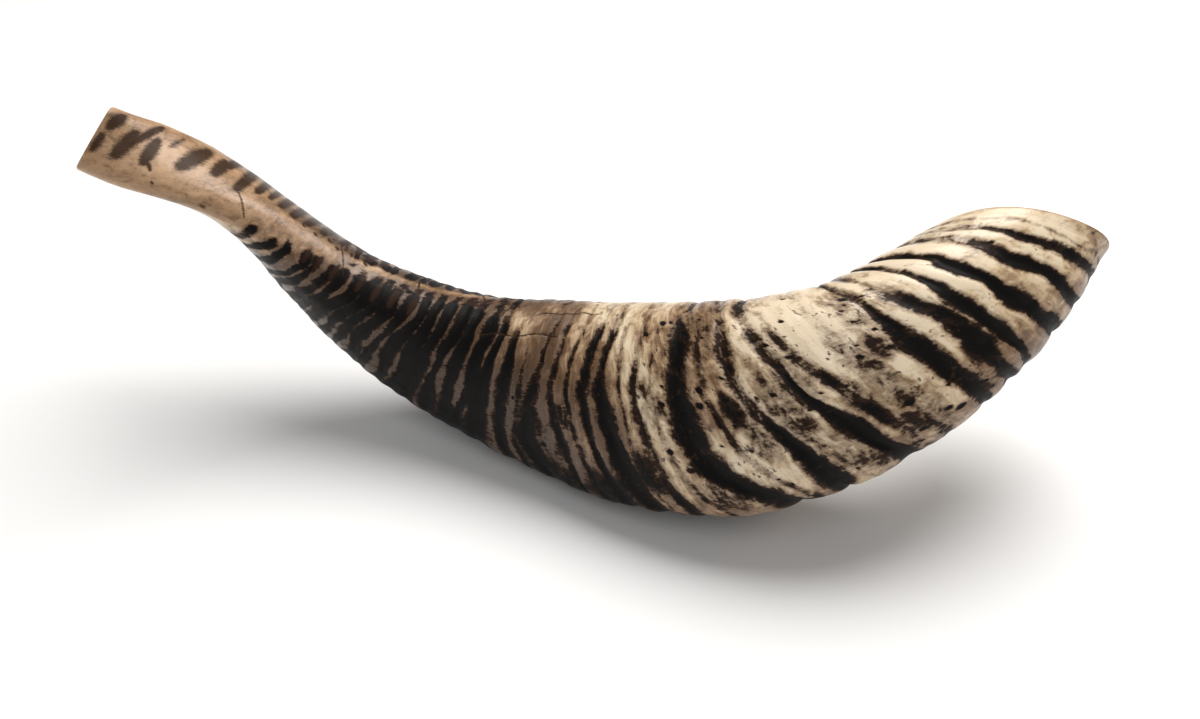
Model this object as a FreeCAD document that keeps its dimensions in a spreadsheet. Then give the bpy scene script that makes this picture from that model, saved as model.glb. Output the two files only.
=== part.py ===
import FreeCAD, Part

import os

# Shofar: one natural ram's horn, hollow from the neck to the bell.
#
# Frame: +Z up, millimetres. The horn rests on the plane Z = 0 on its broad outer face, with the
# mouthpiece towards -X and the bell towards +X. The origin is under the middle of its box.
#
# The skin is one smooth surface over rings, each a rounded box in a plane of its own, so the horn
# curves and twists as its rings do. The natural hollow is a second such surface inside it. A
# straight windway is drilled from the cup in the solid tip to the start of that hollow. Wear has
# left a small flat, under a millimetre deep, where the horn rests. The one horn is then divided,
# in the planes of four of its rings, into the regions that have names.

# Rings from the mouthpiece to the bell.
# x, y, z: centre. heading, climb: the way the ring faces, in plan and above the horizontal.
# roll: turn about that direction. width, height: size across and up the ring. wall: thickness
# of the horn there, which is 0 where the tip is solid.
RING_COLUMNS = ("x", "y", "z", "heading", "climb", "roll", "width", "height", "wall")
RINGS = {
    "tip": (-138, 32, 92, -6, -33, 140, 13, 18.5, 0),
    "shank": (-130, 31, 88, 0, -29, 122, 13, 20, 0),
    "neck": (-114, 33, 81, 2, -33, 97, 13.5, 22, 0),
    "bend": (-95, 33, 67, -8, -44, 56, 17, 26.5, 5),
    "throat": (-72, 26, 44, -19, -38, 33, 23.5, 34, 5.5),
    "chest": (-41, 17, 29, -20, -19, 20, 31.5, 43, 6),
    "belly": (-5, 3, 26, -23, 6, -1, 39, 52.5, 6),
    "loin": (29, -14, 31, -19, 32, -23, 45.5, 61.5, 5.5),
    "flank": (60, -21, 45, 5, 44, -24, 48, 58, 5),
    "flare": (88, -16, 58, 52, 39, -38, 48, 52.5, 4.5),
    "brim": (107, 0, 67, 74, 30, -45, 47, 48, 4),
    "rim": (116, 9, 70, 86, 26, -56, 46, 45, 4),
}
FIRST_RING = "tip"
LAST_RING = "rim"
HOLLOW_START = "bend"

# Corners that pull the outline of every ring, as fractions of half its width and half its height.
# The narrow bare inner face of the horn is at the top and its broad outer face at the bottom.
RING_CORNERS = {
    "inner_front": (-0.50, 1.08),
    "front_upper": (-0.98, 0.45),
    "front_lower": (-1.08, -0.35),
    "outer_front": (-0.95, -1.02),
    "outer": (0.00, -1.12),
    "outer_back": (0.95, -1.12),
    "back_lower": (1.12, -0.35),
    "back_upper": (0.98, 0.45),
    "inner_back": (0.45, 1.08),
}
CURVE_DEGREE = 3

# Cup and windway, and the rounding of the sawn ends.
BORE_SIZES = {
    "cup_width": 9,
    "cup_height": 14,
    "cup_depth": 7,
    "windway_radius": 3,
    "windway_length": 54,
    "windway_heading": 2,
    "windway_climb": -31,
    "end_round": 0.8,
}

# Regions from the mouthpiece on, each with the ring that it ends at. The bell is what is left.
REGIONS = (("mouthpiece", "neck"), ("neck", "throat"), ("throat", "belly"), ("belly", "flank"))
LAST_REGION = "bell"
CUTTER_SIZE = 400

# How far an edge may leave the plane of a sawn end, and how well the volumes must add up.
FLATNESS = 0.01
VOLUME_MATCH = 0.001


def fill_sheet(doc):
    """Put every driving dimension in a spreadsheet, as text, with an alias."""
    sizes = {"cutter_size": CUTTER_SIZE}
    sizes.update(BORE_SIZES)
    for ring, values in RINGS.items():
        for column, value in zip(RING_COLUMNS, values):
            sizes[ring + "_" + column] = value
    for corner, (across, upward) in RING_CORNERS.items():
        sizes[corner + "_across"] = across
        sizes[corner + "_upward"] = upward
    sheet = doc.addObject("Spreadsheet::Sheet", "Sizes")
    for row, (alias, value) in enumerate(sizes.items(), start=1):
        sheet.set("A%d" % row, alias)
        sheet.set("B%d" % row, str(value))
        sheet.setAlias("B%d" % row, alias)
    doc.recompute()
    return sheet


def placement_text(ring, facing):
    """Expression for a plane with local X across a ring, local Y up it and local Z along the horn.

    The centre and roll are the ring's. The heading and climb are those of facing, which is the
    ring itself or the windway.
    """
    centre = "vector(Sizes.{0}_x; Sizes.{0}_y; Sizes.{0}_z)".format(ring)
    turn = "rotation(Sizes.{1}_heading; -Sizes.{1}_climb; Sizes.{0}_roll) * rotation(90; 0; 90)"
    return "placement(" + centre + "; " + turn.format(ring, facing) + ")"


def ring_placement(sheet, ring):
    """The same plane for a shape made from the sheet in code."""
    x, y, z, heading, climb, roll = (sheet.get(ring + "_" + column) for column in RING_COLUMNS[:6])
    turn = FreeCAD.Rotation(heading, -climb, roll) * FreeCAD.Rotation(90, 0, 90)
    return FreeCAD.Placement(FreeCAD.Vector(x, y, z), turn)


def ring_corners(sheet, ring, thinning):
    """The corners of a ring in space. thinning is how many walls its width and height lose."""
    lost = thinning * sheet.get(ring + "_wall")
    half_width = (sheet.get(ring + "_width") - lost) / 2
    half_height = (sheet.get(ring + "_height") - lost) / 2
    plane = ring_placement(sheet, ring)
    corners = []
    for corner in RING_CORNERS:
        across = half_width * sheet.get(corner + "_across")
        upward = half_height * sheet.get(corner + "_upward")
        corners.append(plane.multVec(FreeCAD.Vector(across, upward, 0)))
    return corners


def horn_solid(sheet, rings, thinning):
    """A closed solid: one smooth surface over the rings' corners and a flat face at each end."""
    net = [ring_corners(sheet, ring, thinning) for ring in rings]
    around = len(RING_CORNERS)
    spans = len(rings) - CURVE_DEGREE
    surface = Part.BSplineSurface()
    surface.buildFromPolesMultsKnots(
        [list(line) for line in zip(*net)],
        [1] * (around + 1),
        [CURVE_DEGREE + 1] + [1] * (spans - 1) + [CURVE_DEGREE + 1],
        list(range(around + 1)),
        list(range(spans + 1)),
        True,
        False,
        CURVE_DEGREE,
        CURVE_DEGREE,
    )
    skin = surface.toShape()
    flat_rims = [edge for edge in skin.Edges if not edge.isSeam(skin)]
    ends = [Part.Face(Part.Wire([edge])) for edge in flat_rims]
    shell = Part.Shell([skin] + ends)
    shell.sewShape()
    return Part.Solid(shell)


def add_solid(doc, sheet, name, rings, thinning):
    """A document object that holds such a solid."""
    item = doc.addObject("Part::Feature", name)
    item.Shape = horn_solid(sheet, rings, thinning)
    item.Placement = FreeCAD.Placement()
    return item


def bind(item, expressions):
    """Bind properties of a document object to the sheet."""
    for name, expression in expressions.items():
        item.setExpression(name, expression)


def add_boolean(doc, kind, name, base, tool):
    """A Part::Cut or Part::Common of two document objects."""
    item = doc.addObject(kind, name)
    item.Base = base
    item.Tool = tool
    return item


def add_bore(doc):
    """The cup, half an ovoid sunk in the tip, and the straight windway drilled from its bottom."""
    cup = doc.addObject("Part::Ellipsoid", "Cup")
    bind(cup, {
        "Radius1": "Sizes.cup_depth",
        "Radius2": "Sizes.cup_width / 2",
        "Radius3": "Sizes.cup_height / 2",
        "Placement": placement_text("tip", "tip"),
    })
    windway = doc.addObject("Part::Cylinder", "Windway")
    bind(windway, {
        "Radius": "Sizes.windway_radius",
        "Height": "Sizes.windway_length",
        "Placement": placement_text("tip", "windway"),
    })
    return [cup, windway]


def edges_round(shape, place, outward):
    """Numbers of the edges of a shape that lie in the plane through place, square to outward."""
    numbers = []
    for number, edge in enumerate(shape.Edges, start=1):
        first, last = edge.ParameterRange
        samples = [edge.valueAt(first + (last - first) * step / 4) for step in range(5)]
        if all(abs((sample - place).dot(outward)) < FLATNESS for sample in samples):
            numbers.append(number)
    return numbers


def add_rounding(doc, sheet, horn):
    """Round the edges of both sawn ends, outside and in."""
    numbers = []
    radius = sheet.get("end_round")
    for ring in (FIRST_RING, LAST_RING):
        plane = ring_placement(sheet, ring)
        outward = plane.Rotation.multVec(FreeCAD.Vector(0, 0, 1))
        numbers += edges_round(horn.Shape, plane.Base, outward)
    rounded = doc.addObject("Part::Fillet", "Horn")
    rounded.Base = horn
    rounded.Edges = [(number, radius, radius) for number in numbers]
    return rounded


def add_cutter(doc, name, plane, low):
    """A large cube on a plane, centred across it, whose lower face is low along the plane's Z."""
    cutter = doc.addObject("Part::Box", name)
    bind(cutter, {side: "Sizes.cutter_size" for side in ("Length", "Width", "Height")})
    half = "-Sizes.cutter_size / 2"
    corner = " * placement(vector(%s; %s; %s); rotation(0; 0; 0))" % (half, half, low)
    bind(cutter, {"Placement": plane + corner})
    return cutter


def add_rest_flat(doc, horn):
    """The horn without what lies under Z = 0, which leaves the small flat that it rests on."""
    ground = "placement(vector(0; 0; 0); rotation(0; 0; 0))"
    bench = add_cutter(doc, "Bench", ground, "-Sizes.cutter_size")
    return add_boolean(doc, "Part::Cut", "Worn", horn, bench)


def divide(doc, horn):
    """Divide the horn in the planes of its rings: each region is what lies behind the next plane."""
    rest = horn
    regions = []
    for region, ring in REGIONS:
        cutter = add_cutter(doc, "Beyond_" + ring, placement_text(ring, ring), "0")
        piece = add_boolean(doc, "Part::Cut", "Region_" + region, rest, cutter)
        piece.Label = region
        regions.append(piece)
        rest = add_boolean(doc, "Part::Common", "Past_" + ring, rest, cutter)
    rest.Label = LAST_REGION
    regions.append(rest)
    return regions


def check(doc, horn, regions):
    """Stop on a failed object, a bad solid, or a region lost in the division."""
    for item in doc.Objects:
        if "Invalid" in item.State or "Error" in item.State:
            raise RuntimeError(item.Name + " failed: " + " ".join(item.State))
    for region in regions:
        shape = region.Shape
        if shape.isNull() or not shape.isValid() or len(shape.Solids) != 1:
            raise RuntimeError(region.Label + " isn't one valid solid")
        print("%-11s %8.0f mm3" % (region.Label, shape.Volume))
    total = sum(region.Shape.Volume for region in regions)
    if abs(total - horn.Shape.Volume) > VOLUME_MATCH * total:
        raise RuntimeError("the regions don't add up to the horn")
    box = horn.Shape.optimalBoundingBox(False)
    low = (box.XMin, box.YMin, box.ZMin)
    high = (box.XMax, box.YMax, box.ZMax)
    print("horn        %8.0f mm3" % total)
    print("from %.1f %.1f %.1f" % low, "to %.1f %.1f %.1f mm" % high)


def main():
    doc = FreeCAD.newDocument("Shofar")
    sheet = fill_sheet(doc)
    rings = list(RINGS)
    skin = add_solid(doc, sheet, "Skin", rings, 0)
    hollow = add_solid(doc, sheet, "Hollow", rings[rings.index(HOLLOW_START):], 2)
    voids = doc.addObject("Part::MultiFuse", "Voids")
    voids.Shapes = [hollow] + add_bore(doc)
    sawn = add_boolean(doc, "Part::Cut", "Sawn", skin, voids)
    doc.recompute()
    horn = add_rest_flat(doc, add_rounding(doc, sheet, sawn))
    regions = divide(doc, horn)
    doc.recompute()
    check(doc, horn, regions)
    os.makedirs("parts", exist_ok=True)
    for region in regions:
        region.Shape.exportStep("parts/" + region.Label + ".step")


main()
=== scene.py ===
import bpy
import math
import numpy as np
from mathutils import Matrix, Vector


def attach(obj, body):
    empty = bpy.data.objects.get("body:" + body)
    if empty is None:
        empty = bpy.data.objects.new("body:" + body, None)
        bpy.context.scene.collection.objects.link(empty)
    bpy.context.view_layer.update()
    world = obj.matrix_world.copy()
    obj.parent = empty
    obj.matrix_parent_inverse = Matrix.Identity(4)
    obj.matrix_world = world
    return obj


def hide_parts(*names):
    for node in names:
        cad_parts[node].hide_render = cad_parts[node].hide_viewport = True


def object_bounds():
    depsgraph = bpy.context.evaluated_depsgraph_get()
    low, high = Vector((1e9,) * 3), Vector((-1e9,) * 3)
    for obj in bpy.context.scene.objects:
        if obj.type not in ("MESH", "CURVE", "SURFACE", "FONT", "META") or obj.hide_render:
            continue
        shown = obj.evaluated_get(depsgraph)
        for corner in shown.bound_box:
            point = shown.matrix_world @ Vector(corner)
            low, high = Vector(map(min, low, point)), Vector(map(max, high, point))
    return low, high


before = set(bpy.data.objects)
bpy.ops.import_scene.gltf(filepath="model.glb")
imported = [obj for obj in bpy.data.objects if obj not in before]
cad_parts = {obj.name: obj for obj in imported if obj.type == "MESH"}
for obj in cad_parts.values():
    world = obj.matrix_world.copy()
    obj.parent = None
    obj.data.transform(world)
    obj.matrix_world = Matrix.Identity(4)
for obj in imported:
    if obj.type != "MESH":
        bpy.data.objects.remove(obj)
cad_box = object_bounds()

MM = 0.001

# The horn's skin follows the same rings as the CAD solids, in millimetres and degrees.
# x, y, z, heading, climb, roll, width, height, wall
RINGS = np.array((
    (-138, 32, 92, -6, -33, 140, 13, 18.5, 0),
    (-130, 31, 88, 0, -29, 122, 13, 20, 0),
    (-114, 33, 81, 2, -33, 97, 13.5, 22, 0),
    (-95, 33, 67, -8, -44, 56, 17, 26.5, 5),
    (-72, 26, 44, -19, -38, 33, 23.5, 34, 5.5),
    (-41, 17, 29, -20, -19, 20, 31.5, 43, 6),
    (-5, 3, 26, -23, 6, -1, 39, 52.5, 6),
    (29, -14, 31, -19, 32, -23, 45.5, 61.5, 5.5),
    (60, -21, 45, 5, 44, -24, 48, 58, 5),
    (88, -16, 58, 52, 39, -38, 48, 52.5, 4.5),
    (107, 0, 67, 74, 30, -45, 47, 48, 4),
    (116, 9, 70, 86, 26, -56, 46, 45, 4),
))
HOLLOW_RING = 3
CORNERS = np.array((
    (-0.50, 1.08), (-0.98, 0.45), (-1.08, -0.35), (-0.95, -1.02), (0.00, -1.12),
    (0.95, -1.12), (1.12, -0.35), (0.98, 0.45), (0.45, 1.08),
))
SIDES = len(CORNERS)
CUP_HALF_WIDTH, CUP_HALF_HEIGHT, CUP_DEPTH = 4.5, 7.0, 7.0
WINDWAY_RADIUS, WINDWAY_HEADING, WINDWAY_CLIMB = 3.0, 2.0, -31.0
END_ROUND = 0.8

ROW_STEP = 0.42
INNER_STEP = 2.0
AROUND = 360


# ---------------------------------------------------------------- surface

def cubic_parts(f):
    """Weights of the four control values around a place that is f of the way through its cell."""
    return ((1 - f) ** 3 / 6, (3 * f ** 3 - 6 * f ** 2 + 4) / 6,
            (-3 * f ** 3 + 3 * f ** 2 + 3 * f + 1) / 6, f ** 3 / 6)


def around_basis(turns):
    """Weights of the corners of a ring at each place around it. Place 2.0 is at corner 2."""
    weights = np.zeros((len(turns), SIDES))
    cell = np.floor(turns).astype(int)
    for k, part in enumerate(cubic_parts(turns - cell)):
        weights[np.arange(len(turns)), (cell + k - 1) % SIDES] += part
    return weights


def along_basis(places, count):
    """Weights of the rings at each place along the horn, 0 to count - 3."""
    knots = np.concatenate([[0] * 3, np.arange(count - 2), [count - 3] * 3]).astype(float)
    v = np.clip(np.asarray(places, float), 0, count - 3 - 1e-9)
    basis = np.stack([(v >= a) & (v < b) for a, b in zip(knots[:-1], knots[1:])], 1).astype(float)
    for degree in (1, 2, 3):
        raised = np.zeros((len(v), len(knots) - 1 - degree))
        for j in range(raised.shape[1]):
            before = knots[j + degree] - knots[j]
            after = knots[j + degree + 1] - knots[j + 1]
            if before > 0:
                raised[:, j] += (v - knots[j]) / before * basis[:, j]
            if after > 0:
                raised[:, j] += (knots[j + degree + 1] - v) / after * basis[:, j + 1]
        basis = raised
    return basis


def ring_axes(rings):
    """The way each ring faces, and its directions across and up."""
    heading, climb, roll = (np.radians(rings[:, k])[:, None] for k in (3, 4, 5))
    facing = np.hstack([np.cos(climb) * np.cos(heading), np.cos(climb) * np.sin(heading), np.sin(climb)])
    side = np.hstack([-np.sin(heading), np.cos(heading), 0 * heading])
    upright = np.cross(facing, side)
    across = np.cos(roll) * side + np.sin(roll) * upright
    upward = np.cos(roll) * upright - np.sin(roll) * side
    return facing, across, upward


def surface(rings, places, turns, thinning=0.0):
    """Points of the skin, or of the hollow where thinning is 1: rows along by places around."""
    facing, across, upward = ring_axes(rings)
    half_width = rings[:, 6] / 2 - thinning * rings[:, 8]
    half_height = rings[:, 7] / 2 - thinning * rings[:, 8]
    net = (rings[:, None, :3]
           + (half_width[:, None] * CORNERS[:, 0])[..., None] * across[:, None]
           + (half_height[:, None] * CORNERS[:, 1])[..., None] * upward[:, None])
    return np.einsum("vr,rpk,tp->vtk", along_basis(places, len(rings)), net, around_basis(turns))


def normals_of(points):
    """Unit normals of a grid that closes around, pointing away from its middle."""
    lengthwise = np.gradient(points, axis=0)
    sideways = np.roll(points, -1, 1) - np.roll(points, 1, 1)
    normal = np.cross(lengthwise, sideways)
    normal /= np.linalg.norm(normal, axis=-1, keepdims=True)
    outward = points - points.mean(1, keepdims=True)
    return normal if (normal * outward).sum() > 0 else -normal


TURNS = np.arange(AROUND) / AROUND * SIDES
fine_places = np.linspace(0, len(RINGS) - 3, 1801)
fine_middle = surface(RINGS, fine_places, TURNS[::6]).mean(1)
fine_length = np.concatenate([[0], np.cumsum(np.linalg.norm(np.diff(fine_middle, axis=0), axis=1))])
HORN_LENGTH = fine_length[-1]
ROWS = int(HORN_LENGTH / ROW_STEP)
S = np.linspace(0, HORN_LENGTH, ROWS + 1)
PLACES = np.interp(S, fine_length, fine_places)
skin = surface(RINGS, PLACES, TURNS)
girth = np.linalg.norm(skin - np.roll(skin, 1, 1), axis=-1).sum(1)


def length_at(ring):
    """Length along the horn where the middle passes nearest to a ring's centre."""
    nearest = np.linalg.norm(fine_middle - RINGS[ring, :3], axis=1).argmin()
    return fine_length[nearest]


# ---------------------------------------------------------------- fields over the skin

def smooth(x, low, high):
    """0 below low, 1 above high, and a smooth step between."""
    t = np.clip((x - low) / (high - low), 0, 1)
    return t * t * (3 - 2 * t)


def spline_weights(x, cells, closed):
    """Weights of a row of random values at x, given in cells: a smooth curve over them."""
    i = np.floor(x).astype(int)
    weights = np.zeros((len(x), cells))
    for k, part in enumerate(cubic_parts(x - i)):
        at = (i + k) % cells if closed else np.clip(i + k, 0, cells - 1)
        np.add.at(weights, (np.arange(len(x)), at), part)
    return weights


def noise(seed, cell_mm, cell_corners):
    """Smooth seeded noise of about unit size over the skin, with cells that long and that far around."""
    rows = int(HORN_LENGTH / cell_mm) + 5
    columns = max(3, int(round(SIDES / cell_corners)))
    values = np.random.default_rng(seed).normal(0, 1.9, (rows, columns))
    lengthwise = spline_weights(S / cell_mm, rows, False)
    sideways = spline_weights(TURNS / SIDES * columns, columns, True)
    return lengthwise @ values @ sideways.T


def ring_noise(seed, cell_corners):
    """Smooth seeded noise around the horn only."""
    columns = max(3, int(round(SIDES / cell_corners)))
    values = np.random.default_rng(seed).normal(0, 1.6, columns)
    return spline_weights(TURNS / SIDES * columns, columns, True) @ values


def corner_gap(corner):
    """How far each place around is from a corner, in corners, signed, the short way round."""
    return (TURNS - corner + SIDES / 2) % SIDES - SIDES / 2


SS = S[:, None]
GAP_MM = girth[:, None] / SIDES

# Growth grooves of the body: length along the horn in mm at corners 0 to 3, down the front from
# the crease, how dark each is there, then the half width and the depth in mm.
GROOVES = (
    (147, 146, 144.5, 146, 0.5, 0.8, 1.0, 1.0, 2.0, 0.7),
    (154, 151.5, 149, 152, 0.25, 0.4, 0.5, 0.6, 1.1, 0.4),
    (161, 157, 153, 160, 0.5, 0.6, 1.0, 1.0, 1.9, 0.7),
    (168, 163, 166, 170, 0.4, 0.45, 0.6, 0.85, 1.3, 0.5),
    (174.5, 169, 171, 175, 0.4, 0.5, 0.45, 0.6, 0.9, 0.4),
    (181, 174, 176, 181, 0.6, 0.8, 0.9, 1.0, 1.7, 0.8),
    (188, 181, 183, 188, 0.7, 0.85, 1.0, 1.0, 2.2, 0.9),
    (194, 187.5, 188, 192, 0.3, 0.45, 0.4, 0.4, 0.9, 0.4),
    (200, 193, 192, 197, 0.6, 0.55, 0.6, 0.9, 1.4, 0.6),
    (207, 199, 197, 204, 0.25, 0.3, 0.4, 0.5, 1.0, 0.4),
    (214, 205.5, 205.5, 217, 0.5, 1.0, 1.05, 1.0, 2.9, 1.6),
    (220, 214, 214.5, 222, 0.3, 0.45, 0.5, 0.5, 1.0, 0.4),
    (226, 221.5, 226, 228, 0.45, 0.75, 1.0, 0.9, 1.8, 1.2),
    (232, 234.5, 237, 240, 0.5, 0.9, 1.0, 0.9, 1.8, 1.2),
    (237, 239, 243, 245, 0.2, 0.6, 0.65, 0.4, 1.4, 0.5),
    (248, 248, 249, 250, 0.1, 0.4, 0.75, 0.5, 1.7, 0.6),
    (259, 258.5, 258.5, 258, 0.6, 0.9, 1.0, 0.8, 1.7, 1.1),
    (264, 266.5, 266, 265, 0.2, 0.9, 0.95, 0.85, 1.6, 1.0),
    (272.5, 272.5, 271, 270, 0.95, 1.0, 0.9, 0.7, 1.15, 1.0),
    (279, 279, 278, 278.5, 0.9, 1.0, 1.0, 1.0, 1.45, 1.1),
    (288, 286.5, 286, 286.5, 0.6, 0.9, 1.0, 0.9, 1.5, 0.9),
    (293, 293, 293, 293, 0.35, 0.8, 0.75, 0.55, 1.4, 0.6),
    (297, 297, 297, 297, 0.3, 0.4, 0.4, 0.3, 0.7, 0.3),
)

# Bars of the throat, which lean back from the crease: length in mm at corners 0 to 3. They widen
# and deepen towards the body.
THROAT_BARS = (
    (50, 46, 44, 43), (57, 53, 51, 50), (63, 59, 57, 56), (68, 64, 62, 61), (72, 69, 67, 66),
    (77, 74, 72, 71), (81, 78, 76, 75), (86, 82, 80, 79), (90, 87, 85, 84), (95, 91, 90, 89),
    (99, 96, 95, 94), (104, 101, 100, 99), (109, 106, 105, 104), (114, 111, 110, 109),
    (119, 116, 115, 114), (125, 122, 121, 120), (130, 128, 126, 125), (136, 134, 131, 130),
    (141, 139, 137, 136),
)
THROAT_START, THROAT_END = 50, 141


def around(front):
    """Values at corners 0 to 3 spread right round the horn, with their mean on the back."""
    back = (front[0] + front[3]) / 2
    course = np.interp(TURNS, (0, 1, 2, 3, 6, SIDES), (*front, back, front[0]))
    soften = np.exp(-(np.fft.fftfreq(AROUND, 1 / AROUND) / 14) ** 2)
    return np.real(np.fft.ifft(np.fft.fft(course) * soften))


rows_of_grooves = [(around(row[:4]), around(row[4:8]), row[8], row[9]) for row in GROOVES]
for bar in THROAT_BARS:
    grown = (bar[0] - THROAT_START) / (THROAT_END - THROAT_START)
    strength = min(1.0, 0.75 + 0.6 * grown)
    rows_of_grooves.append((around(bar), np.full(AROUND, strength), 1.2 + 0.6 * grown, 0.08 + 0.4 * grown))

# Grooves fade on the bare inner face between corners 8 and 9, on the back and on the neck.
face_middle = 8.14 + 0.36 * smooth(SS, 122, 150)
face_half = 0.36 + 0.36 * smooth(SS, 122, 150) + 0.34 * smooth(-SS, -80, -50)
face_gap = abs(corner_gap(face_middle))
bare_face = smooth(1.0 - face_gap / face_half, 0.0, 0.55) * smooth(-SS, -232, -198)
zone = 1 - 0.8 * bare_face
late = np.maximum(smooth(SS, 62, 92), smooth(SS, 38, 48) * smooth(abs(corner_gap(5.6)[None]), 2.4, 3.2))
behind = smooth(abs(corner_gap(1.5)), 2.0, 4.0)[None]

groove = np.zeros((len(S), AROUND))
dips = np.zeros((len(S), AROUND))
for index, (course, strength, half_width, depth) in enumerate(rows_of_grooves):
    course = course + 0.4 * ring_noise(100 + index, 0.6) + 0.16 * ring_noise(200 + index, 0.16)
    swell = np.clip(1 + 0.2 * ring_noise(300 + index, 0.4), 0.5, 1.5)
    strength = strength * np.clip(1 + 0.13 * ring_noise(400 + index, 0.45), 0.6, 1.15)
    away = abs(SS - course[None]) / (half_width * swell[None])
    groove = np.maximum(groove, np.clip((1.75 - away) / 1.25, 0, 1) * strength[None])
    bowl = np.exp(-(away * 1.05) ** 2) + 0.25 * np.exp(-(away / 2.4) ** 2)
    dips = np.minimum(dips, -0.75 * depth * bowl * (0.3 + 0.7 * np.clip(strength, 0, 1)[None]))
relief = (dips + 0.12) * zone * late * smooth(HORN_LENGTH - SS, 0.5, 5)
groove *= (1 - 0.55 * bare_face) * (1 - 0.2 * behind) * late

# Speckled patches between the grooves: length, corner, half size along and around in mm, strength.
PATCHES = (
    (218.5, 1.4, 3.2, 6.0, 0.7), (221.0, 1.7, 4.0, 9.0, 0.5), (229.5, 1.5, 4.5, 14.0, 0.5),
    (234.0, 1.2, 4.0, 9.0, 0.5), (253.5, 1.1, 2.6, 5.0, 0.6), (256.0, 0.4, 6.0, 9.0, 0.36),
    (167.0, 1.4, 3.0, 4.5, 0.5), (157.0, 1.6, 3.0, 5.0, 0.45), (190.0, 2.2, 6.0, 7.0, 0.62),
    (242.5, 1.55, 3.0, 6.0, 0.5), (222.0, 0.4, 6.0, 7.0, 0.34), (236.0, 2.4, 6.0, 11.0, 0.42),
    (249.0, 2.2, 5.0, 12.0, 0.42), (262.0, 2.4, 5.0, 9.0, 0.36), (208.0, 2.6, 7.0, 9.0, 0.42),
    (198.0, 1.2, 4.0, 7.0, 0.36), (178.0, 2.6, 9.0, 9.0, 0.5), (160.0, 2.7, 9.0, 9.0, 0.55),
)
for length, corner, long_half, wide_half, strength in PATCHES:
    reach = ((SS - length) / long_half) ** 2 + (corner_gap(corner)[None] * GAP_MM / wide_half) ** 2
    groove = np.maximum(groove, strength * np.exp(-reach ** 2))

# Brown bars and spots on the polished neck and the inner face. Each runs from a length and corner
# to another length and corner, with its half width in mm and how dark it is.
BARS = (
    (4.5, 5.35, 3.0, 5.8, 2.1, 1.0), (2.0, 6.3, 1.5, 6.9, 1.5, 0.8), (9.5, 6.1, 7.5, 6.9, 2.3, 1.0),
    (15.5, 5.4, 10.5, 6.3, 1.3, 0.95), (15.6, 6.15, 14.6, 7.0, 1.9, 1.0), (15.4, 7.0, 17.0, 7.35, 0.6, 0.8),
    (29.0, 5.95, 24.0, 6.9, 2.5, 1.0), (22.0, 5.7, 19.5, 6.2, 1.1, 0.6), (34.5, 6.1, 32.8, 6.9, 2.0, 1.0),
    (38.8, 5.3, 35.5, 6.3, 1.6, 1.0), (44.0, 5.4, 39.5, 7.3, 1.8, 1.0), (48.8, 5.5, 45.0, 7.1, 1.5, 0.95),
    (52.3, 5.7, 49.0, 7.1, 1.3, 0.9), (56.6, 5.8, 52.6, 7.3, 1.6, 1.0), (61.0, 6.0, 57.0, 7.45, 1.8, 1.0),
    (65.6, 6.2, 61.8, 7.5, 1.9, 1.0), (71.0, 6.4, 67.2, 7.5, 1.9, 1.0), (76.4, 6.6, 73.6, 7.5, 1.6, 0.95),
    (80.5, 7.0, 79.0, 7.6, 1.2, 0.8), (84.5, 7.0, 83.5, 7.7, 1.2, 0.8), (89.0, 7.1, 88.0, 7.7, 1.2, 0.8),
    (40.0, 7.4, 45.5, 8.5, 0.35, 0.7), (74.0, 7.7, 80.0, 8.6, 0.35, 0.7),
    (100.0, 7.35, 105.0, 8.5, 0.4, 0.85), (123.0, 7.7, 129.0, 8.3, 0.4, 0.8),
    (121.5, 8.25, 129.0, 8.42, 0.7, 1.0),
    (67.0, 8.45, 67.6, 8.85, 1.0, 0.8), (71.5, 8.45, 72.0, 8.85, 1.0, 0.8), (77.0, 8.5, 77.6, 8.85, 1.0, 0.8),
    (86.0, 8.4, 86.6, 8.8, 1.0, 0.8), (92.0, 8.45, 92.5, 8.85, 1.1, 0.9), (98.0, 8.4, 98.6, 8.85, 1.1, 0.9),
    (105.0, 8.5, 105.6, 8.85, 1.1, 0.9), (60.5, 7.6, 61.2, 7.7, 0.6, 0.8), (65.0, 7.75, 65.8, 7.8, 0.7, 0.8),
    (69.5, 7.6, 70.0, 7.75, 0.6, 0.8), (73.0, 7.85, 73.8, 7.9, 0.7, 0.8), (78.0, 7.75, 78.5, 7.9, 0.6, 0.8),
    (83.0, 7.85, 84.0, 7.95, 0.7, 0.8), (155.0, 7.85, 155.8, 8.2, 1.3, 0.8),
    (163.0, 7.8, 163.8, 8.15, 1.2, 0.8), (171.5, 7.85, 172.2, 8.2, 1.3, 0.85),
    (179.0, 7.85, 179.8, 8.15, 1.1, 0.8), (187.0, 7.8, 187.8, 8.15, 1.2, 0.8),
    (194.5, 7.85, 195.2, 8.2, 1.1, 0.75), (33.0, 8.55, 34.5, 8.75, 0.9, 0.6),
    (18.5, 7.85, 19.0, 7.95, 0.5, 0.6), (257.0, 8.1, 259.0, 8.9, 1.5, 0.6),
    (265.0, 8.0, 264.5, 8.7, 2.2, 0.65), (286.0, 8.2, 288.0, 8.9, 1.3, 0.6),
)
marks = np.zeros_like(groove)
for start, first, end, last, half_width, strength in BARS:
    corner = (first + last) / 2
    y = corner_gap(corner % SIDES)[None] * GAP_MM
    x = SS - (start + end) / 2
    half_x = (end - start) / 2
    half_y = (last - first) / 2 * GAP_MM
    along = np.clip((x * half_x + y * half_y) / (half_x ** 2 + half_y ** 2), -1, 1)
    off = np.hypot(x - along * half_x, y - along * half_y)
    reach = off / (half_width * (1.15 - 0.3 * along ** 2))
    marks = np.maximum(marks, np.clip(1.5 - reach, 0, 1.5) / 1.5 * strength)

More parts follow.
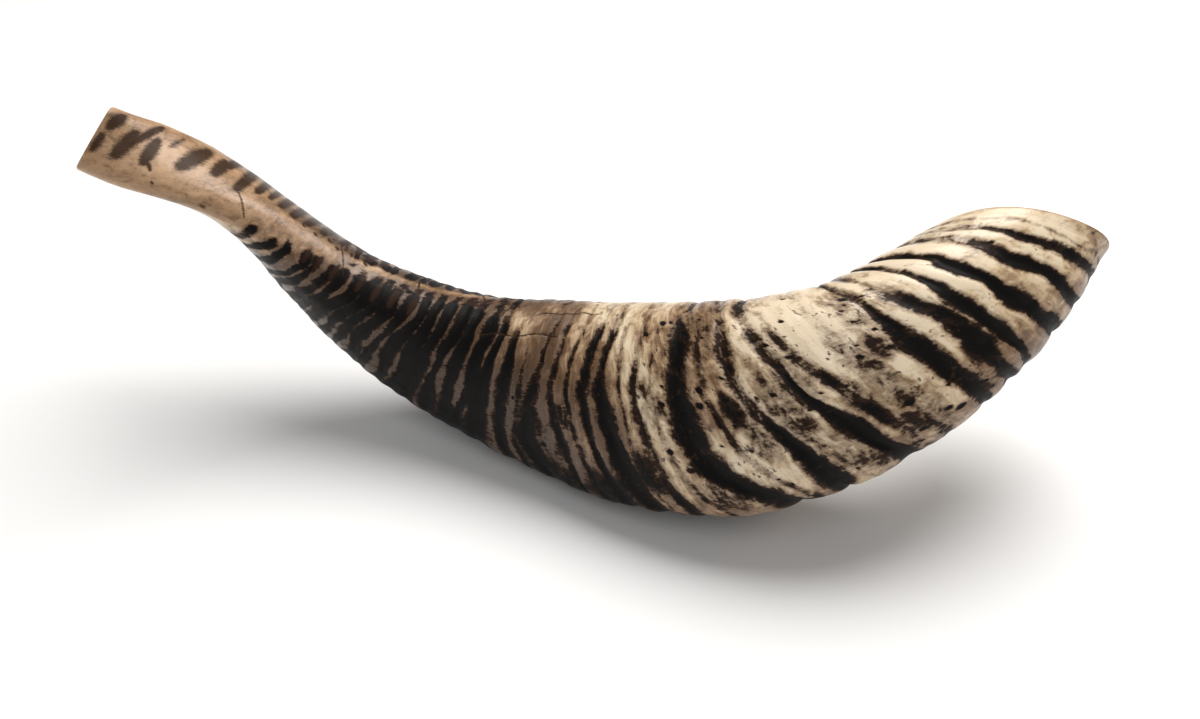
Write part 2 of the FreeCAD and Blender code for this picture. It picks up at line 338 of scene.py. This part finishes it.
# Knot of concentric growth rings at the end of the neck.
KNOT_LENGTH, KNOT_CORNER, KNOT_RADIUS, KNOT_PITCH = 73.0, 8.75, 9.0, 2.3
knot_r = np.hypot((SS - KNOT_LENGTH) * 0.75, corner_gap(KNOT_CORNER)[None] * GAP_MM)
knot_r = knot_r + 0.8 * noise(61, 5, 0.35)
knot = smooth(KNOT_RADIUS - knot_r, 0, 4) * (0.5 + 0.5 * np.cos(knot_r * 2 * math.pi / KNOT_PITCH))
knot *= smooth(SS + 6 * corner_gap(KNOT_CORNER)[None], 68, 76)
marks = np.maximum(marks, 0.3 * knot * smooth(knot_r, 0.8, 2.5))

# Pits: dark dots, most of them on the broad front where the horn is widest.
PIT_COUNT, PIT_REACH = 90, 3
pits = np.random.default_rng(77)
for _ in range(PIT_COUNT):
    length = pits.uniform(196, 262) if pits.random() < 0.7 else pits.uniform(95, 290)
    corner = pits.uniform(0.0, 3.0) if pits.random() < 0.75 else pits.uniform(0, SIDES)
    radius = 0.3 + 0.5 * pits.random() ** 2
    first_row = max(0, int((length - PIT_REACH) / HORN_LENGTH * ROWS))
    rows = slice(first_row, int((length + PIT_REACH) / HORN_LENGTH * ROWS))
    r = np.hypot((S[rows, None] - length) / 1.2, corner_gap(corner)[None] * GAP_MM[rows]) / radius
    groove[rows] = np.maximum(groove[rows], np.clip(1.7 - r, 0, 1) * 0.85)
    relief[rows] -= 0.18 * np.exp(-r ** 2)

# Hairline cracks along the horn beside the crease and on the inner face: start and end in mm, and the
# corner at each.
CRACKS = ((130, 166, 9.05, 9.18), (150, 182, 8.62, 8.74), (132, 141, 8.2, 8.3))
for start, end, first, last in CRACKS:
    course = np.interp(S, (start, end), (first, last))[:, None] + 0.02 * noise(int(start), 3.0, 9)[:, :1]
    gap = abs(corner_gap(course)) * GAP_MM
    inside = smooth(SS, start, start + 4) * smooth(end - SS, 0, 4)
    marks = np.maximum(marks, np.clip(1.1 - gap / 0.42, 0, 1) * inside * 0.85)
    relief -= 0.2 * np.exp(-(gap / 0.45) ** 2) * inside

# Slow swells and fine growth lines.
relief += 0.32 * noise(11, 15, 0.9) * late * zone
relief += 0.09 * noise(12, 5, 0.5)
growth_lines = 0.05 * noise(13, 1.1, 1.6) + 0.035 * noise(14, 1.9, 0.5)
relief += growth_lines * (0.25 + 0.75 * late) * (0.4 + 0.6 * zone)
relief += 0.05 * noise(15, 22, 0.16) * late
ends = smooth(SS, 0.0, 6) * smooth(HORN_LENGTH - SS, 0.0, 4)
relief *= 0.12 + 0.88 * ends

# Brown stain: none on the neck, dense at the throat, thinning towards the bell, and light on the bare inner
# face and on the worn boss beside the crease. The underside is darker, partly brown stain and partly painted
# shade, and a pale line of painted highlight runs along the ridge that borders the inner face.
stain = np.interp(S, (0, 40, 54, 78, 128, 148, 172, 200, 235, HORN_LENGTH),
                  (0, 0, 0.6, 1.0, 1.15, 0.85, 0.45, 0.2, 0, 0))
# Darker underside between corners 2 and 4, from about 110 mm on: partly brown stain, partly painted shade.
under = smooth(corner_gap(2.2)[None], -1.0, 0.7) * smooth(-corner_gap(4.0)[None], -1.5, 0.5)
shade = stain[:, None] * (1 - 0.28 * bare_face) * (1 - 0.35 * behind)
shade += 0.32 * under * smooth(SS, 110, 140)
shade += 0.14 * noise(21, 18, 0.8) + 0.12 * noise(22, 6, 0.5)
# Painted highlight: a pale line along the ridge beside the bare inner face. It lightens the colour and fades
# the grooves there.
ridge_painted_highlight = np.exp(-((corner_gap(7.95)[None]) / 0.14) ** 2) * smooth(SS, 72, 84) * smooth(-SS, -136, -126)
boss = np.exp(-((SS - 240) / 11) ** 2 - ((corner_gap(0.3)[None]) / 0.7) ** 2)
shade -= 0.6 * ridge_painted_highlight + 0.4 * boss
groove *= 1 - 0.75 * ridge_painted_highlight
front = smooth(2.2 - abs(corner_gap(2.2)), 0, 0.25)[None]
bare = np.maximum(bare_face * smooth(-SS, -150, -110), smooth(-SS, 25 * front - 75, 27 * front - 45))
spots = smooth(SS, 120, 205) * smooth(-abs(corner_gap(1.4)[None]), -2.6, -1.0)
spots = spots * (1 - 0.6 * smooth(SS, 262, 275))
marks *= 1 - 0.6 * smooth(-SS, -1.0, 1.0)


# ---------------------------------------------------------------- rows of the whole horn

def flat_ring(ring, half_width, half_height, advance):
    """An oval in a ring's plane, moved along the way it faces, with its points in step with TURNS."""
    facing, across, upward = (axis[ring] for axis in ring_axes(RINGS))
    outline = around_basis(TURNS) @ CORNERS
    angle = np.arctan2(outline[:, 1], outline[:, 0])
    centre = RINGS[ring, :3] + facing * advance
    return (centre + half_width * np.cos(angle)[:, None] * across
            + half_height * np.sin(angle)[:, None] * upward)


skin = skin + normals_of(skin) * relief[..., None]
skin[..., 2] = np.maximum(skin[..., 2], 0.0)
facing_all = ring_axes(RINGS)[0]


def rounded(outline, centre, outward, inward):
    """Rows that round the edge between a wall and the flat end, from the wall to the end face."""
    rows = []
    towards = centre - outline
    towards -= (towards @ outward)[:, None] * outward
    towards /= np.linalg.norm(towards, axis=1, keepdims=True)
    for step in range(1, 6):
        angle = math.radians(18 * step)
        inset = END_ROUND * (1 - math.cos(angle))
        sink = END_ROUND * (1 - math.sin(angle))
        rows.append(outline + towards * inset * inward - outward * sink)
    return rows


# Outside, from the mouthpiece to the bell. The last END_ROUND at each end is the rounded edge.
outer = (S > END_ROUND) & (S < HORN_LENGTH - END_ROUND)
tip_out = rounded(skin[0], RINGS[0, :3], -facing_all[0], 1)
rim_out = rounded(skin[-1], RINGS[-1, :3], facing_all[-1], 1)

# Inside, from the mouthpiece to the bell: cup, windway, hollow.
cup_edge = flat_ring(0, CUP_HALF_WIDTH, CUP_HALF_HEIGHT, 0)
cup_round = rounded(cup_edge, RINGS[0, :3], -facing_all[0], -1)
windway_rings = RINGS.copy()
windway_rings[0, 3:5] = WINDWAY_HEADING, WINDWAY_CLIMB
bore_facing = ring_axes(windway_rings)[0][0]
inside_rows = list(reversed(cup_round))
inside_s = [0.0] * len(cup_round)
for step in range(1, 9):
    angle = math.radians(step * 6.2)
    cup_row = flat_ring(0, CUP_HALF_WIDTH * math.cos(angle), CUP_HALF_HEIGHT * math.cos(angle) ** 1.35,
                        CUP_DEPTH * math.sin(angle))
    inside_rows.append(cup_row)
    inside_s.append(CUP_DEPTH * math.sin(angle))
oval = flat_ring(0, 1.0, 1.0, 0) - RINGS[0, :3]
for reach in (6.6, 9.0, *range(12, 49, 4)):
    inside_rows.append(RINGS[0, :3] + bore_facing * reach + oval * WINDWAY_RADIUS)
    inside_s.append(reach)
hollow_rings = RINGS[HOLLOW_RING:]
hollow_fine = np.linspace(0, len(hollow_rings) - 3, 601)
hollow_middle = surface(hollow_rings, hollow_fine, TURNS[::12], 1.0).mean(1)
hollow_length = np.concatenate([[0], np.cumsum(np.linalg.norm(np.diff(hollow_middle, axis=0), axis=1))])
hollow_steps = int(hollow_length[-1] / INNER_STEP)
hollow_s = np.linspace(0, hollow_length[-1] - END_ROUND, hollow_steps)
hollow = surface(hollow_rings, np.interp(hollow_s, hollow_length, hollow_fine), TURNS, 1.0)
hollow_start = length_at(HOLLOW_RING)
roughen = np.random.default_rng(5)
wave = spline_weights(TURNS / SIDES * 60, 60, True) @ roughen.normal(0, 0.25, 60)
hollow_relief = np.outer(smooth(hollow_length[-1] - hollow_s, 1, 8), wave)
hollow = hollow + normals_of(hollow) * hollow_relief[..., None]
inside_rows += list(hollow)
inside_s += list(hollow_start + hollow_s / hollow_length[-1] * (HORN_LENGTH - hollow_start))
rim_edge = surface(hollow_rings, [len(hollow_rings) - 3], TURNS, 1.0)[0]
rim_round = rounded(rim_edge, RINGS[-1, :3], facing_all[-1], -1)

# One closed run of rows: up the outside from the tip, over the rim, and back down the inside.
run = []


def add_row(points, length, skin_row=None, inner=0.0, cut=0.0):
    """Add a row of points. inner is 1 inside the horn, and cut is 1 on bare sawn or carved horn."""
    run.append({"points": points, "length": length, "skin": skin_row, "inner": inner, "cut": cut})


for row in reversed(tip_out):
    add_row(row, 0.0, 0, 0.0, 1.0)
for k in np.flatnonzero(outer):
    add_row(skin[k], S[k], int(k))
for row in rim_out:
    add_row(row, HORN_LENGTH, ROWS, 0.0, 1.0)
middle_rim = (rim_out[-1] + rim_round[-1]) / 2
add_row(middle_rim, HORN_LENGTH, None, 0.3, 1.0)
for row in reversed(rim_round):
    add_row(row, HORN_LENGTH, None, 0.6, 1.0)
turn_point = len(run)
for points, length in zip(reversed(inside_rows), reversed(inside_s)):
    in_cup = length < 8
    add_row(points, length, None, 0.0 if in_cup else 1.0, 1.0 if in_cup else 0.0)
middle_tip = (tip_out[-1] + cup_round[-1]) / 2
add_row(middle_tip, 0.0, None, 0.0, 1.0)

all_points = np.stack([row["points"] for row in run])
closed = np.concatenate([all_points[-2:], all_points, all_points[:2]])
lengthwise = closed[3:-1] - closed[1:-3]
sideways = np.roll(all_points, -1, 1) - np.roll(all_points, 1, 1)
all_normals = np.cross(sideways, lengthwise)
all_normals /= np.maximum(np.linalg.norm(all_normals, axis=-1, keepdims=True), 1e-9)
check_row = len(tip_out) + 200
if ((all_points[check_row] - all_points[check_row].mean(0)) * all_normals[check_row]).sum() < 0:
    all_normals = -all_normals


def field_rows(field):
    """A field over the skin spread to every row of the run, and 0 inside the horn."""
    inside = np.zeros(AROUND)
    return np.stack([inside if row["skin"] is None else field[row["skin"]] for row in run])


run_length = np.array([row["length"] for row in run])
run_inner = np.array([row["inner"] for row in run])
run_cut = np.array([row["cut"] for row in run])
attributes = {
    "groove": field_rows(groove),
    "marks": field_rows(marks),
    "shade": field_rows(shade),
    "spots": field_rows(spots),
    "bare": np.maximum(field_rows(bare), run_cut[:, None]),
    "inner": np.repeat(run_inner[:, None], AROUND, 1),
}
radius_cm = 2.4
angle = TURNS / SIDES * 2 * math.pi
span = np.stack([
    np.repeat(run_length[:, None] / 10, AROUND, 1),
    np.repeat((radius_cm * np.cos(angle))[None], len(run), 0),
    np.repeat((radius_cm * np.sin(angle))[None], len(run), 0),
], -1)


# ---------------------------------------------------------------- materials

def new_material(name):
    """A material with its node tree and its main shader."""
    material = bpy.data.materials.new(name)
    material.use_nodes = True
    return material, material.node_tree, material.node_tree.nodes["Principled BSDF"]


def node(tree, kind, values=None, links=None, **settings):
    """A node with values on some of its inputs, links into others, and its settings."""
    made = tree.nodes.new(kind)
    for name, value in settings.items():
        setattr(made, name, value)
    for key, value in (values or {}).items():
        made.inputs[key].default_value = value
    for key, source in (links or {}).items():
        tree.links.new(source, made.inputs[key])
    return made


def attribute(tree, name):
    """The node that reads one of the fields stored on a piece."""
    return node(tree, "ShaderNodeAttribute", attribute_name=name)


def math_node(tree, operation, first, second=None, third=None, clamp=False):
    """Arithmetic on numbers and sockets."""
    made = node(tree, "ShaderNodeMath", operation=operation, use_clamp=clamp)
    for socket, value in zip(made.inputs, (first, second, third)):
        if value is None:
            continue
        if isinstance(value, (int, float)):
            socket.default_value = value
        else:
            tree.links.new(value, socket)
    return made.outputs[0]


def total(tree, *terms):
    """The sum of several numbers and sockets."""
    result = terms[0]
    for term in terms[1:]:
        result = math_node(tree, "ADD", result, term)
    return result


def centred(tree, field, strength):
    """A field of 0 to 1 scaled to the given strength and moved to lie about 0."""
    return math_node(tree, "MULTIPLY_ADD", field, strength, -strength / 2)


def noise_node(tree, vector, scale, stretch=(1, 1, 1), detail=4.0, roughness=0.55, distortion=0.0):
    """Noise over a vector, finer along the axes with a larger stretch."""
    mapped = node(tree, "ShaderNodeMapping", {"Scale": stretch}, {"Vector": vector})
    made = node(tree, "ShaderNodeTexNoise",
                {"Scale": scale, "Detail": detail, "Roughness": roughness, "Distortion": distortion},
                {"Vector": mapped.outputs[0]})
    return made.outputs["Fac"]


def map_range(tree, value, low, high, to_low=0.0, to_high=1.0):
    """A smooth step from to_low, where the value is low, to to_high, where it is high."""
    made = node(tree, "ShaderNodeMapRange",
                {"From Min": low, "From Max": high, "To Min": to_low, "To Max": to_high},
                {"Value": value}, interpolation_type="SMOOTHSTEP")
    return made.outputs["Result"]


def mix_colour(tree, factor, first, second):
    """The first colour where the factor is 0, and the second where it is 1."""
    made = node(tree, "ShaderNodeMix", data_type="RGBA", blend_type="MIX")
    for socket, value in ((made.inputs[0], factor), (made.inputs[6], first), (made.inputs[7], second)):
        if isinstance(value, (int, float, tuple)):
            socket.default_value = value
        else:
            tree.links.new(value, socket)
    return made.outputs[2]


def ramp(tree, value, stops):
    """A colour ramp with its stops as places and colours."""
    made = node(tree, "ShaderNodeValToRGB", links={"Fac": value})
    elements = made.color_ramp.elements
    while len(elements) < len(stops):
        elements.new(0.5)
    for element, (place, colour) in zip(elements, stops):
        element.position = place
        element.color = colour
    return made.outputs[0]


def srgb(red, green, blue):
    """A colour as it looks on a screen, 0 to 255, as the linear value that a shader takes."""
    linear = [((v / 255 + 0.055) / 1.055) ** 2.4 if v > 10 else v / 255 / 12.92
              for v in (red, green, blue)]
    return (*linear, 1.0)


def horn_material():
    """The outside: light horn, dark grooves, brown bars and freckles under a polish."""
    material, tree, shader = new_material("polished_horn")
    place = attribute(tree, "span").outputs["Vector"]
    grooves, marked, shaded, spotted, bared = (
        attribute(tree, name).outputs["Fac"] for name in ("groove", "marks", "shade", "spots", "bare"))

    fibre = noise_node(tree, place, 7.0, (0.7, 1.4, 1.4), 5.0, 0.62)
    hair = noise_node(tree, place, 16.0, (0.22, 3.0, 3.0), 3.0, 0.6)
    lines = noise_node(tree, place, 7.0, (2.4, 0.25, 0.25), 4.0, 0.6, 0.3)
    cloud = noise_node(tree, place, 0.9, (1, 1, 1), 5.0, 0.6)
    blotch = noise_node(tree, place, 2.8, (1.3, 0.8, 0.8), 5.0, 0.58, 0.5)
    grain = noise_node(tree, place, 13.0, (1, 1, 1), 4.0, 0.6)

    # Light horn: cream to tan, browner where it is stained and where painted shade darkens the underside,
    # paler on the painted ridge highlight, mottled in patches of a few millimetres.
    mottle = total(tree, centred(tree, cloud, 0.55), centred(tree, lines, 0.4), centred(tree, blotch, 0.9))
    tone = math_node(tree, "ADD", mottle, math_node(tree, "MULTIPLY", shaded, 0.85))
    tone = math_node(tree, "ADD", tone, 0.2, clamp=True)
    light = ramp(tree, tone, (
        (0.0, srgb(226, 207, 178)), (0.22, srgb(203, 178, 144)), (0.45, srgb(152, 122, 92)),
        (0.7, srgb(92, 68, 49)), (1.0, srgb(34, 23, 17))))
    honey = ramp(tree, total(tree, tone, centred(tree, grain, 0.3)), (
        (0.0, srgb(184, 148, 112)), (0.3, srgb(162, 127, 93)), (0.6, srgb(120, 90, 60)),
        (1.0, srgb(62, 41, 26))))
    base = mix_colour(tree, bared, light, honey)

    # Dark pigment in the grooves, with ragged edges and hatching along the fibres where it is stained and
    # where painted shade lies.
    edge = total(tree, centred(tree, fibre, 0.5), centred(tree, blotch, 1.3), centred(tree, grain, 0.34))
    hatch = math_node(tree, "MULTIPLY", centred(tree, hair, 1.2), shaded)
    level = total(tree, grooves, edge, hatch, math_node(tree, "MULTIPLY", shaded, 0.3),
                  math_node(tree, "MULTIPLY", spotted, 0.06))
    halo = map_range(tree, level, 0.02, 0.46, 0.0, 0.74)
    base = mix_colour(tree, halo, base, srgb(104, 75, 47))
    dark = map_range(tree, level, 0.38, 0.6)
    core = map_range(tree, total(tree, level, centred(tree, hair, -0.3)), 0.56, 0.84)
    pigment = mix_colour(tree, core, srgb(46, 30, 20), srgb(10, 8, 7))
    base = mix_colour(tree, dark, base, pigment)

    # Bars, spots and cracks: brown, streaked and soft at the edge.
    mark_level = total(tree, marked, centred(tree, fibre, 0.7), centred(tree, grain, 0.5))
    mark = map_range(tree, mark_level, 0.1, 0.66, 0.0, 0.94)
    base = mix_colour(tree, mark, base, srgb(46, 28, 18))

    # Fine hairlines along the fibres and small freckles.
    lined = map_range(tree, hair, 0.6, 0.74, 0.0, 0.35)
    speckle = noise_node(tree, place, 5.5, (1.2, 0.9, 0.9), 4.0, 0.62)
    crowd = math_node(tree, "MULTIPLY_ADD", cloud, 0.5, math_node(tree, "MULTIPLY", spotted, 0.07))
    freckled = map_range(tree, total(tree, speckle, crowd), 0.93, 1.0, 0.0, 0.85)
    ridged = math_node(tree, "SUBTRACT", 1.0, bared)
    fleck = math_node(tree, "MULTIPLY", math_node(tree, "MAXIMUM", lined, freckled), ridged)
    base = mix_colour(tree, fleck, base, srgb(50, 32, 21))
    tree.links.new(base, shader.inputs["Base Color"])

    # Polish: duller and with less shine in the dark parts, and a fine relief along the fibres.
    rough = math_node(tree, "MULTIPLY_ADD", grain, 0.22, 0.2)
    rough = math_node(tree, "ADD", rough, math_node(tree, "MULTIPLY", dark, 0.18))
    tree.links.new(rough, shader.inputs["Roughness"])
    height = math_node(tree, "MULTIPLY", lines, 0.6)
    height = math_node(tree, "ADD", height, math_node(tree, "MULTIPLY", hair, 0.35))
    height = math_node(tree, "SUBTRACT", height, math_node(tree, "MULTIPLY", dark, 0.5))
    bump = node(tree, "ShaderNodeBump", {"Strength": 0.35, "Distance": 0.0004}, {"Height": height})
    tree.links.new(bump.outputs[0], shader.inputs["Normal"])
    covered = math_node(tree, "MAXIMUM", dark, mark)
    tree.links.new(math_node(tree, "MULTIPLY_ADD", covered, -0.32, 0.42), shader.inputs["Specular IOR Level"])
    tree.links.new(math_node(tree, "MULTIPLY_ADD", covered, -0.12, 0.13), shader.inputs["Coat Weight"])
    shader.inputs["IOR"].default_value = 1.5
    shader.inputs["Coat Roughness"].default_value = 0.1
    return material


def inner_material():
    """The inside: unpolished brown horn, streaked along its length."""
    material, tree, shader = new_material("inner_horn")
    place = attribute(tree, "span").outputs["Vector"]
    fibre = noise_node(tree, place, 6.0, (0.2, 2.0, 2.0), 5.0, 0.6)
    cloud = noise_node(tree, place, 1.1, (1, 1, 1), 5.0, 0.6)
    tone = math_node(tree, "MULTIPLY_ADD", fibre, 0.6, math_node(tree, "MULTIPLY_ADD", cloud, 0.6, -0.1))
    colour = ramp(tree, tone, (
        (0.1, srgb(88, 62, 42)), (0.45, srgb(142, 108, 76)), (0.75, srgb(186, 154, 116)),
        (1.0, srgb(208, 182, 146))))
    tree.links.new(colour, shader.inputs["Base Color"])
    tree.links.new(math_node(tree, "MULTIPLY_ADD", fibre, 0.3, 0.42), shader.inputs["Roughness"])
    bump = node(tree, "ShaderNodeBump", {"Strength": 0.5, "Distance": 0.0005}, {"Height": fibre})
    tree.links.new(bump.outputs[0], shader.inputs["Normal"])
    return material


# ---------------------------------------------------------------- pieces

def build_piece(name, outer_rows, inner_rows, materials):
    """One closed piece: a run of outer rows, then a run of inner rows, closed into a ring of rows."""
    rows = list(outer_rows) + list(inner_rows)
    points = all_points[rows].reshape(-1, 3) * MM
    count = len(rows)
    index = np.arange(count * AROUND).reshape(count, AROUND)
    following = np.roll(index, -1, 0)
    quads = np.stack([index, np.roll(index, -1, 1), np.roll(following, -1, 1), following], -1)
    mesh = bpy.data.meshes.new(name)
    mesh.from_pydata(points.tolist(), [], quads.reshape(-1, 4).tolist())
    inner_side = np.array([run_inner[row] > 0.9 for row in rows])
    face_inner = np.repeat(inner_side & np.roll(inner_side, -1), AROUND)
    for material in materials:
        mesh.materials.append(material)
    mesh.polygons.foreach_set("material_index", face_inner.astype(np.int32))
    mesh.polygons.foreach_set("use_smooth", np.ones(count * AROUND, bool))
    for key, field in attributes.items():
        layer = mesh.attributes.new(key, "FLOAT", "POINT")
        layer.data.foreach_set("value", field[rows].reshape(-1).astype(np.float32))
    layer = mesh.attributes.new("span", "FLOAT_VECTOR", "POINT")
    layer.data.foreach_set("vector", span[rows].reshape(-1).astype(np.float32))
    mesh.update()
    mesh.normals_split_custom_set_from_vertices(all_normals[rows].reshape(-1, 3).tolist())
    piece = bpy.data.objects.new(name, mesh)
    bpy.context.scene.collection.objects.link(piece)
    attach(piece, "root")
    return piece


# The regions, and the rings whose planes part them.
DIVIDING_RINGS = (2, 4, 6, 8)
finishes = (horn_material(), inner_material())
cut_lengths = [-1.0] + [length_at(ring) for ring in DIVIDING_RINGS] + [HORN_LENGTH + 1]
outer_index = np.arange(turn_point)
inner_index = np.arange(turn_point, len(run))
PIECES = (("mouthpiece", "bare_horn"), ("neck", "bare_horn"), ("throat", "ridged_horn"),
          ("belly", "ridged_horn"), ("bell", "ridged_horn"))


def rows_between(rows, low, high):
    """The rows of a side from one division to the next, with the shared row at each."""
    length = run_length[rows]
    chosen = rows[(length >= low) & (length <= high)]
    ahead = rows[length > high]
    if len(ahead):
        shared = ahead[0] if rows[0] == outer_index[0] else ahead[-1]
        chosen = np.append(chosen, shared) if rows[0] == outer_index[0] else np.append([shared], chosen)
    return chosen


for number, (node_name, slot_name) in enumerate(PIECES):
    low, high = cut_lengths[number], cut_lengths[number + 1]
    outer_rows = rows_between(outer_index, low, high)
    inner_rows = rows_between(inner_index, low, high)
    made_piece = build_piece(node_name + "_skin", outer_rows, inner_rows, finishes)
    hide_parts(node_name)


# ---------------------------------------------------------------- stage, light and camera

def floor_material():
    """Pale paper."""
    material, tree, shader = new_material("pale_paper")
    coordinates = node(tree, "ShaderNodeTexCoord").outputs["Object"]
    tint = noise_node(tree, coordinates, 3.0)
    colour = mix_colour(tree, tint, (0.86, 0.855, 0.85, 1), (0.89, 0.885, 0.88, 1))
    tree.links.new(colour, shader.inputs["Base Color"])
    shader.inputs["Roughness"].default_value = 0.7
    shader.inputs["Specular IOR Level"].default_value = 0.2
    return material


FLOOR_REACH = 4.0
floor_mesh = bpy.data.meshes.new("floor")
floor_corners = [(across * FLOOR_REACH, back * FLOOR_REACH, 0)
                 for across, back in ((-1, -1), (1, -1), (1, 1), (-1, 1))]
floor_mesh.from_pydata(floor_corners, [], [(0, 1, 2, 3)])
floor_mesh.materials.append(floor_material())
floor = bpy.data.objects.new("floor", floor_mesh)
floor.location.z = cad_box[0][2] if cad_box[0][2] < 0 else 0.0
bpy.context.scene.collection.objects.link(floor)


LIGHT_TARGET = (0, 0, 0.03)
WORLD_STRENGTH = 0.27


def area_light(name, size, power, place, colour):
    """A round soft light at a place in metres, aimed at the horn."""
    data = bpy.data.lights.new(name, "AREA")
    data.shape = "DISK"
    data.size = size
    data.energy = power
    data.color = colour
    light = bpy.data.objects.new(name, data)
    bpy.context.scene.collection.objects.link(light)
    aim = np.array(LIGHT_TARGET, float) - np.array(place, float)
    light.location = place
    flat = math.hypot(aim[0], aim[1])
    light.rotation_euler = (math.atan2(flat, -aim[2]), 0, math.atan2(aim[1], aim[0]) - math.pi / 2)


area_light("overhead", 0.95, 16, (0.24, 0.32, 1.1), (1.0, 0.985, 0.965))
area_light("front_fill", 1.0, 4, (0.1, -1.0, 1.15), (0.98, 0.99, 1.0))

world = bpy.data.worlds.new("studio")
bpy.context.scene.world = world
world.use_nodes = True
background = world.node_tree.nodes["Background"]
background.inputs["Color"].default_value = (1.0, 0.995, 0.985, 1)
background.inputs["Strength"].default_value = WORLD_STRENGTH

# The camera looks down on the front of the horn. Place in metres, tilt in degrees up from straight
# down, lens and sensor in millimetres.
CAMERA_PLACE, CAMERA_TILT = (0.004, -0.3739, 0.3306), 52
LENS, SENSOR_WIDTH, CLIP_START = 50, 36, 0.01
camera_data = bpy.data.cameras.new("camera")
camera_data.lens = LENS
camera_data.sensor_width = SENSOR_WIDTH
camera_data.clip_start = CLIP_START
camera = bpy.data.objects.new("camera", camera_data)
bpy.context.scene.collection.objects.link(camera)
camera.location = CAMERA_PLACE
camera.rotation_euler = (math.radians(CAMERA_TILT), 0, 0)
bpy.context.scene.camera = camera
bpy.context.scene.view_settings.view_transform = "Standard"
